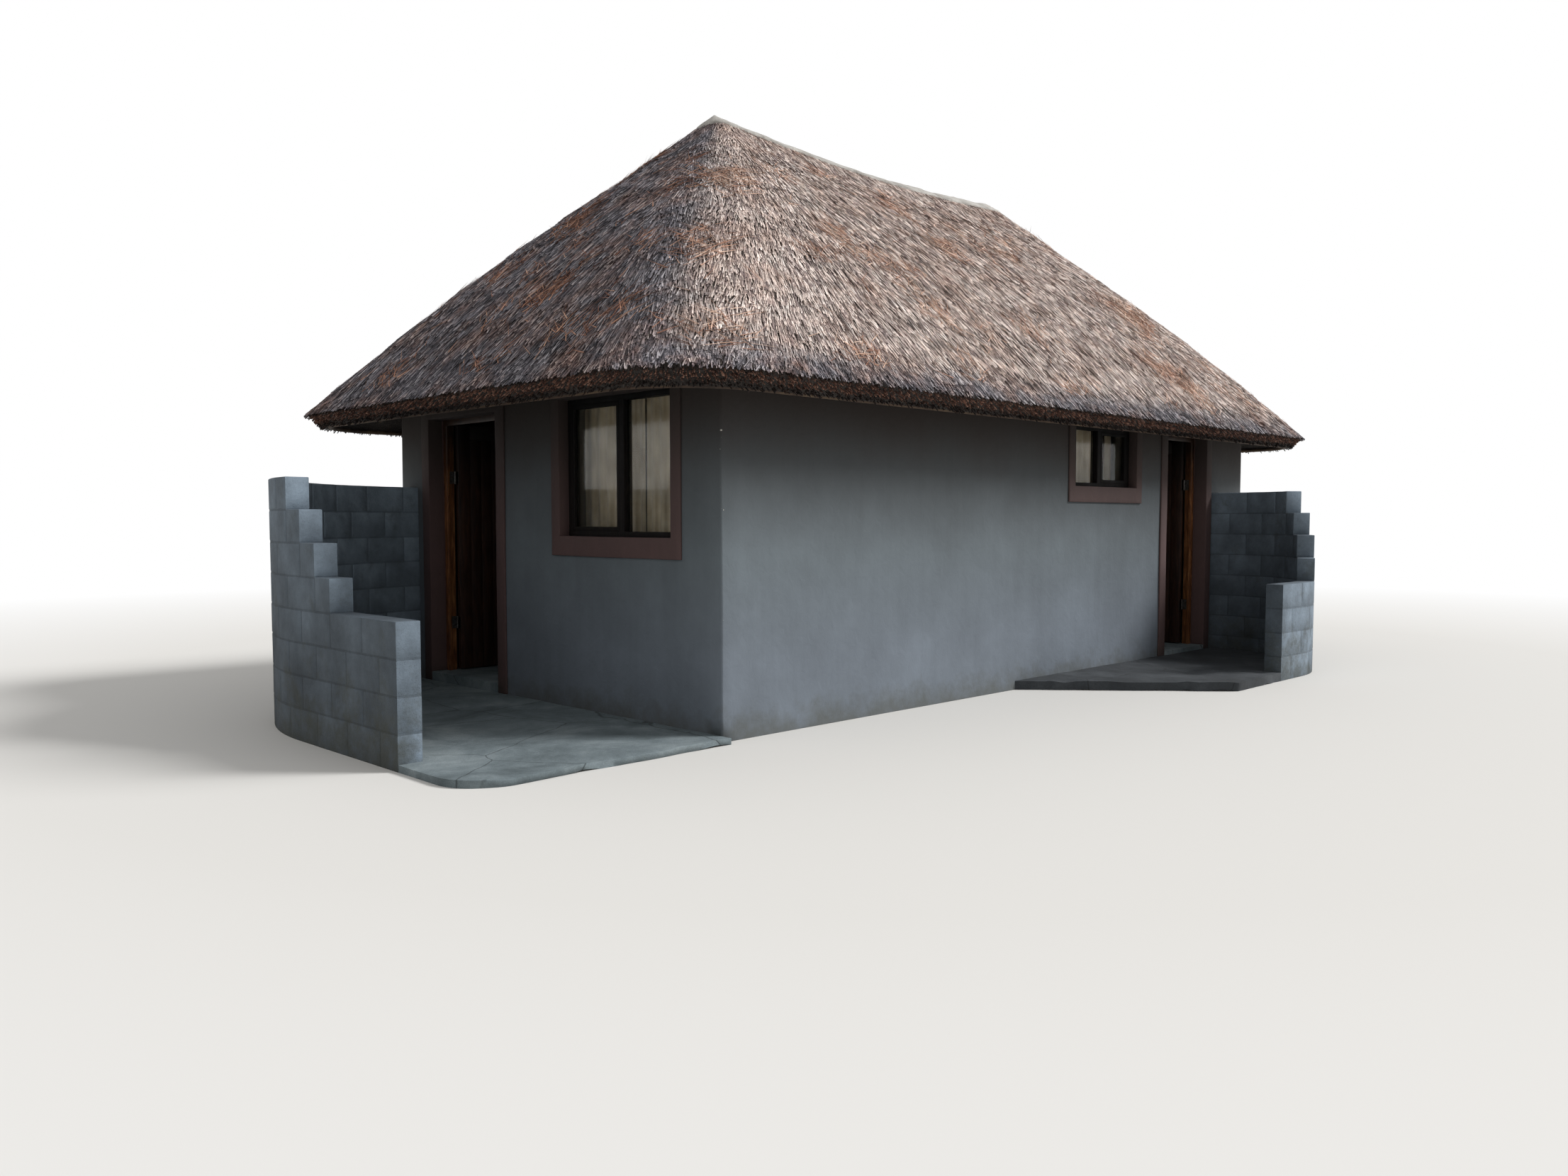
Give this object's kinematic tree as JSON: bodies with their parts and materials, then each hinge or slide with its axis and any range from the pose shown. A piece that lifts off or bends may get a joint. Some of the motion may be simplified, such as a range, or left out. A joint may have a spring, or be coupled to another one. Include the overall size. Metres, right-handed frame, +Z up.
{
  "type": "thatched garden hut",
  "caption": "Rectangular plastered garden hut with a hipped thatched roof, white cement ridge cap, banded windows and doors, and curved stepped block screens by the doorways.",
  "frame": {"origin": "middle of the hut's plan, at ground level", "axes": "+Z up, +X along the hut from the entrance end to the far end, -Y out of the long front wall"},
  "size_m": [9.707, 5.77, 4.585],
  "materials": {
    "wall_plaster": "matt painted cement plaster",
    "band_plaster": "matt painted cement plaster",
    "screen_block": "matt painted concrete block",
    "worn_concrete": "worn grey concrete",
    "dark_joinery": "dark varnished timber",
    "varnished_timber": "orange-brown varnished timber",
    "gum_pole": "bare weathered poles",
    "thatch": "weathered grass thatch",
    "ridge_cement": "weathered white cement",
    "curtain_cloth": "cream cotton",
    "window_glass": "clear float glass",
    "door_steel": "dull steel"
  },
  "bodies": {
    "hut": {"front_wall": "wall_plaster", "front_wall_end": "wall_plaster", "front_wall_lintel": "wall_plaster", "entrance_wall": "wall_plaster", "entrance_wall_end": "wall_plaster", "entrance_wall_lintel": "wall_plaster", "back_wall": "wall_plaster", "far_end_wall": "wall_plaster", "floor_slab": "worn_concrete", "thresholds": "worn_concrete", "entrance_stoep": "worn_concrete", "side_stoep": "worn_concrete", "window_surrounds": "band_plaster", "door_surrounds": "band_plaster", "window_frames": "dark_joinery", "window_casements": "dark_joinery", "curtain_rails": "dark_joinery", "window_panes": "window_glass", "entrance_curtains": "curtain_cloth", "front_curtains": "curtain_cloth", "back_curtains": "curtain_cloth", "door_frames": "varnished_timber", "hinge_plates": "door_steel", "wall_plates": "gum_pole", "ridge_pole": "gum_pole", "front_rafters": "gum_pole", "back_rafters": "gum_pole", "entrance_rafters": "gum_pole", "far_rafters": "gum_pole", "hip_rafters": "gum_pole", "collar_ties": "gum_pole", "roof_laths": "gum_pole", "front_thatch": "thatch", "back_thatch": "thatch", "entrance_thatch": "thatch", "far_thatch": "thatch", "ridge_cap": "ridge_cement", "entrance_screen_wall": "screen_block", "side_screen_wall": "screen_block"},
    "entrance_leaf": {"entrance_door": "varnished_timber", "entrance_door_hinges": "door_steel", "entrance_door_handle": "door_steel"},
    "side_leaf": {"side_door": "varnished_timber", "side_door_hinges": "door_steel", "side_door_handle": "door_steel"}
  },
  "joints": [
    {"name": "entrance_door_hinge", "type": "hinge", "parent": "hut", "child": "entrance_leaf", "pos_m": [-3.382, 1.4745, 1.09], "axis": [0, 0, 1], "range_deg": [-90, 10]},
    {"name": "side_door_hinge", "type": "hinge", "parent": "hut", "child": "side_leaf", "pos_m": [2.7345, -1.792, 1.09], "axis": [0, 0, -1], "range_deg": [-90, 10]}
  ]
}
